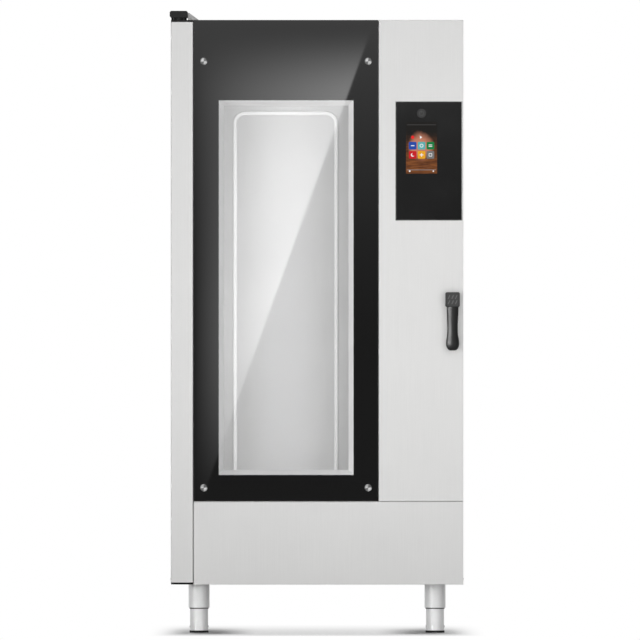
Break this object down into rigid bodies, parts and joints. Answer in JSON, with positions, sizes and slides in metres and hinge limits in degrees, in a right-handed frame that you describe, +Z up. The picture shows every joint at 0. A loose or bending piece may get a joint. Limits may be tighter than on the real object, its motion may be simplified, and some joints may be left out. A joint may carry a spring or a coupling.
{
  "type": "convection oven",
  "caption": "Tall roll-in convection oven with a full-height glazed door, lever handle, touch control panel, side fans and adjustable feet.",
  "frame": {"origin": "on the floor, at the middle of the whole oven's width and depth", "axes": "+Z up, the door faces -Y, +X to the right as seen from the front"},
  "size_m": [0.8935, 1.003, 1.896],
  "materials": {
    "panel_steel": "satin",
    "cavity_steel": "satin",
    "frame_steel": "satin",
    "foot_steel": "satin",
    "heater_steel": "satin",
    "motor_alloy": "matte",
    "hinge_black": "satin",
    "black_plastic": "matte",
    "rubber_seal": "matte",
    "mineral_wool": "matte",
    "clear_glass": "gloss",
    "black_border": "gloss",
    "control_black": "gloss",
    "screen": "gloss",
    "button_black": "gloss",
    "polished_steel": "polished",
    "brass_fitting": "satin",
    "circuit_board": "matte"
  },
  "bodies": {
    "cabinet": {"base_frame": "frame_steel", "bottom_panel": "panel_steel", "top_panel": "panel_steel", "left_side_panel": "panel_steel", "right_side_panel": "panel_steel", "back_panel": "panel_steel", "front_frame": "panel_steel", "door_gasket": "rubber_seal", "cavity_shell": "cavity_steel", "cavity_back_wall": "cavity_steel", "insulation": "mineral_wool", "air_baffle": "cavity_steel", "rack_rails": "cavity_steel", "fan_motors": "motor_alloy", "heating_elements": "heater_steel", "lamp_housings": "frame_steel", "lamp_lenses": "clear_glass", "exhaust_pipe": "frame_steel", "drain_pipe": "frame_steel", "water_line": "brass_fitting", "cable_gland": "black_plastic", "electrical_tray": "frame_steel", "foot_sleeves": "foot_steel", "hinge_top_bracket": "hinge_black", "hinge_bottom_bracket": "hinge_black", "hinge_block": "hinge_black", "hinge_tie": "panel_steel", "hinge_pins": "frame_steel", "latch_keeper": "cavity_steel"},
    "door": {"hinge_column": "panel_steel", "column_plugs": "black_plastic", "door_frame": "frame_steel", "door_inner_skin": "panel_steel", "door_top_cover": "panel_steel", "door_insulation": "mineral_wool", "outer_glass": "clear_glass", "glass_border": "black_border", "glass_bolts": "polished_steel", "window_reveal": "cavity_steel", "inner_glass": "clear_glass", "inner_glass_seal": "rubber_seal", "right_panel": "panel_steel", "lower_panel": "panel_steel", "control_bezel": "polished_steel", "control_glass": "control_black", "display_module": "screen", "control_housing": "black_plastic", "control_board": "circuit_board", "handle_rose": "black_plastic"},
    "handle": {"handle_head": "black_plastic", "handle_grip": "black_plastic", "handle_spindle": "frame_steel"},
    "button": {"power_button": "button_black"},
    "fan_lower": {"fan_lower": "cavity_steel"},
    "fan_middle": {"fan_middle": "cavity_steel"},
    "fan_upper": {"fan_upper": "cavity_steel"},
    "leg_front_left": {"leg_front_left": "foot_steel"},
    "leg_front_right": {"leg_front_right": "foot_steel"},
    "leg_back_left": {"leg_back_left": "foot_steel"},
    "leg_back_right": {"leg_back_right": "foot_steel"}
  },
  "joints": [
    {"name": "door_swing", "type": "hinge", "parent": "cabinet", "child": "door", "pos_m": [-0.421, -0.4135, 1], "axis": [0, 0, -1], "range_deg": [0, 120]},
    {"name": "handle_turn", "type": "hinge", "parent": "door", "child": "handle", "pos_m": [0.412, -0.4435, 1.017], "axis": [0, 1, 0], "range_deg": [-10, 90]},
    {"name": "button_press", "type": "slide", "parent": "door", "child": "button", "axis": [0, 1, 0], "range_m": [0, 0.002], "stiffness_N_per_m": 300},
    {"name": "fan_lower_spin", "type": "hinge", "parent": "cabinet", "child": "fan_lower", "pos_m": [0.25, 0.0035, 0.4898], "axis": [1, 0, 0], "continuous": true},
    {"name": "fan_middle_spin", "type": "hinge", "parent": "cabinet", "child": "fan_middle", "pos_m": [0.25, 0.0035, 1.004], "axis": [1, 0, 0], "continuous": true},
    {"name": "fan_upper_spin", "type": "hinge", "parent": "cabinet", "child": "fan_upper", "pos_m": [0.25, 0.0035, 1.5182], "axis": [1, 0, 0], "continuous": true},
    {"name": "leg_front_left_level", "type": "slide", "parent": "cabinet", "child": "leg_front_left", "axis": [0, 0, -1], "range_m": [0, 0.04]},
    {"name": "leg_front_right_level", "type": "slide", "parent": "cabinet", "child": "leg_front_right", "axis": [0, 0, -1], "range_m": [0, 0.04]},
    {"name": "leg_back_left_level", "type": "slide", "parent": "cabinet", "child": "leg_back_left", "axis": [0, 0, -1], "range_m": [0, 0.04]},
    {"name": "leg_back_right_level", "type": "slide", "parent": "cabinet", "child": "leg_back_right", "axis": [0, 0, -1], "range_m": [0, 0.04]}
  ]
}
